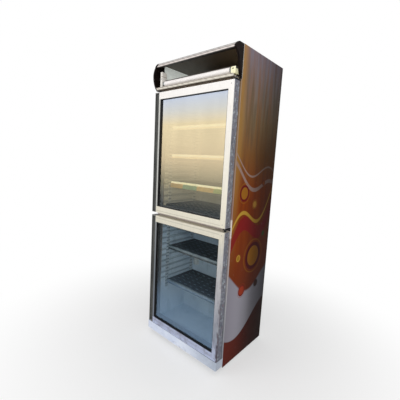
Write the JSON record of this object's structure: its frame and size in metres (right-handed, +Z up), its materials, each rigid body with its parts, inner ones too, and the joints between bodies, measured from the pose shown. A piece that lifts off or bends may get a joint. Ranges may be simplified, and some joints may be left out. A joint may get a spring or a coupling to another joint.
{
  "type": "display refrigerator",
  "caption": "Upright display refrigerator with two half-height glass doors, slotted shelves, an open light box on top and a printed film on its sides.",
  "frame": {"origin": "on the floor, in the middle of the footprint", "axes": "+X to the right as seen from the front, -Y to the front, +Z up"},
  "size_m": [0.675, 0.575, 2],
  "materials": {
    "printed_sheet": "printed film on painted sheet steel, satin",
    "grey_sheet": "painted sheet steel, satin",
    "galvanised": "galvanised sheet",
    "white_sheet": "white enamelled sheet",
    "foam": "rigid foam",
    "liner_plastic": "moulded, matt",
    "probe_plastic": "moulded, matt",
    "trim_aluminium": "satin anodised",
    "hinge_steel": "black enamelled steel",
    "shelf_sheet": "dark coated sheet steel",
    "rail_plastic": "extruded, glossy",
    "coil_aluminium": "mill finish",
    "black_plastic": "moulded, fine grain",
    "header_aluminium": "satin, streaked",
    "lamp_glass": "opal tube",
    "lamp_plastic": "moulded, cream",
    "compressor_steel": "black enamel",
    "motor_steel": "zinc plated",
    "copper": "copper tube",
    "foot_steel": "zinc plated",
    "roller_plastic": "moulded",
    "handle_aluminium": "grey coated",
    "door_aluminium": "satin, pale",
    "spacer_aluminium": "bright",
    "black_rubber": "matt",
    "gasket_rubber": "soft, matt grey",
    "door_glass": "clear float glass"
  },
  "bodies": {
    "cabinet": {"left_side_panel": "printed_sheet", "right_side_panel": "printed_sheet", "top_panel": "grey_sheet", "back_panel": "galvanised", "base_tray": "galvanised", "plinth": "white_sheet", "insulation": "foam", "front_trims": "trim_aluminium", "mullion": "trim_aluminium", "bottom_hinge": "hinge_steel", "middle_hinge": "hinge_steel", "top_hinge": "hinge_steel", "shelves": "shelf_sheet", "base_grille": "shelf_sheet", "price_rails": "rail_plastic", "shelf_supports": "liner_plastic", "duct_covers": "liner_plastic", "probe_housing": "probe_plastic", "evaporator": "coil_aluminium", "header_caps": "black_plastic", "header_top_rail": "header_aluminium", "header_bottom_rail": "header_aluminium", "header_floor": "galvanised", "lamp_batten": "white_sheet", "lamp_tube": "lamp_glass", "lamp_holders": "lamp_plastic", "compressor": "compressor_steel", "condenser": "coil_aluminium", "fan_bracket": "motor_steel", "pipework": "copper", "control_box": "black_plastic", "cord_gland": "black_plastic", "rear_cover": "grey_sheet", "upper_liner": "liner_plastic", "lower_liner": "liner_plastic"},
    "upper_door": {"upper_handle_stile": "handle_aluminium", "upper_hinge_stile": "door_aluminium", "upper_door_rails": "door_aluminium", "upper_end_plugs": "black_plastic", "upper_glass": "door_glass", "upper_spacer": "spacer_aluminium", "upper_glazing_seal": "black_rubber", "upper_glazing_bead": "liner_plastic", "upper_gasket": "gasket_rubber"},
    "lower_door": {"lower_handle_stile": "handle_aluminium", "lower_hinge_stile": "door_aluminium", "lower_door_rails": "door_aluminium", "lower_end_plugs": "black_plastic", "lower_glass": "door_glass", "lower_spacer": "spacer_aluminium", "lower_glazing_seal": "black_rubber", "lower_glazing_bead": "liner_plastic", "lower_gasket": "gasket_rubber"},
    "fan_rotor": {"fan_rotor": "coil_aluminium"},
    "thermostat_knob": {"thermostat_knob": "black_plastic"},
    "light_switch": {"light_switch": "black_plastic"},
    "left_foot": {"left_foot": "foot_steel"},
    "right_foot": {"right_foot": "foot_steel"},
    "left_roller": {"left_roller": "roller_plastic"},
    "right_roller": {"right_roller": "roller_plastic"}
  },
  "joints": [
    {"name": "upper_door_hinge", "type": "hinge", "parent": "cabinet", "child": "upper_door", "pos_m": [0.3215, -0.244, 0.96], "axis": [0, 0, 1], "range_deg": [0, 115]},
    {"name": "lower_door_hinge", "type": "hinge", "parent": "cabinet", "child": "lower_door", "pos_m": [0.3215, -0.244, 0.097], "axis": [0, 0, 1], "range_deg": [0, 115]},
    {"name": "fan_spin", "type": "hinge", "parent": "cabinet", "child": "fan_rotor", "pos_m": [-0.195, 0.1845, 0.14], "axis": [0, 1, 0], "continuous": true},
    {"name": "thermostat_turn", "type": "hinge", "parent": "cabinet", "child": "thermostat_knob", "pos_m": [0.25, 0.2625, 0.242], "axis": [0, -1, 0], "range_deg": [0, 300]},
    {"name": "light_switch_rock", "type": "hinge", "parent": "cabinet", "child": "light_switch", "pos_m": [0.19, 0.2605, 0.242], "axis": [-1, 0, 0], "range_deg": [0, 12]},
    {"name": "left_foot_screw", "type": "slide", "parent": "cabinet", "child": "left_foot", "axis": [0, 0, -1], "range_m": [0, 0.01]},
    {"name": "right_foot_screw", "type": "slide", "parent": "cabinet", "child": "right_foot", "axis": [0, 0, -1], "range_m": [0, 0.01]},
    {"name": "left_roller_spin", "type": "hinge", "parent": "cabinet", "child": "left_roller", "pos_m": [-0.285, 0.2365, 0.016], "axis": [1, 0, 0], "continuous": true},
    {"name": "right_roller_spin", "type": "hinge", "parent": "cabinet", "child": "right_roller", "pos_m": [0.285, 0.2365, 0.016], "axis": [1, 0, 0], "continuous": true}
  ]
}
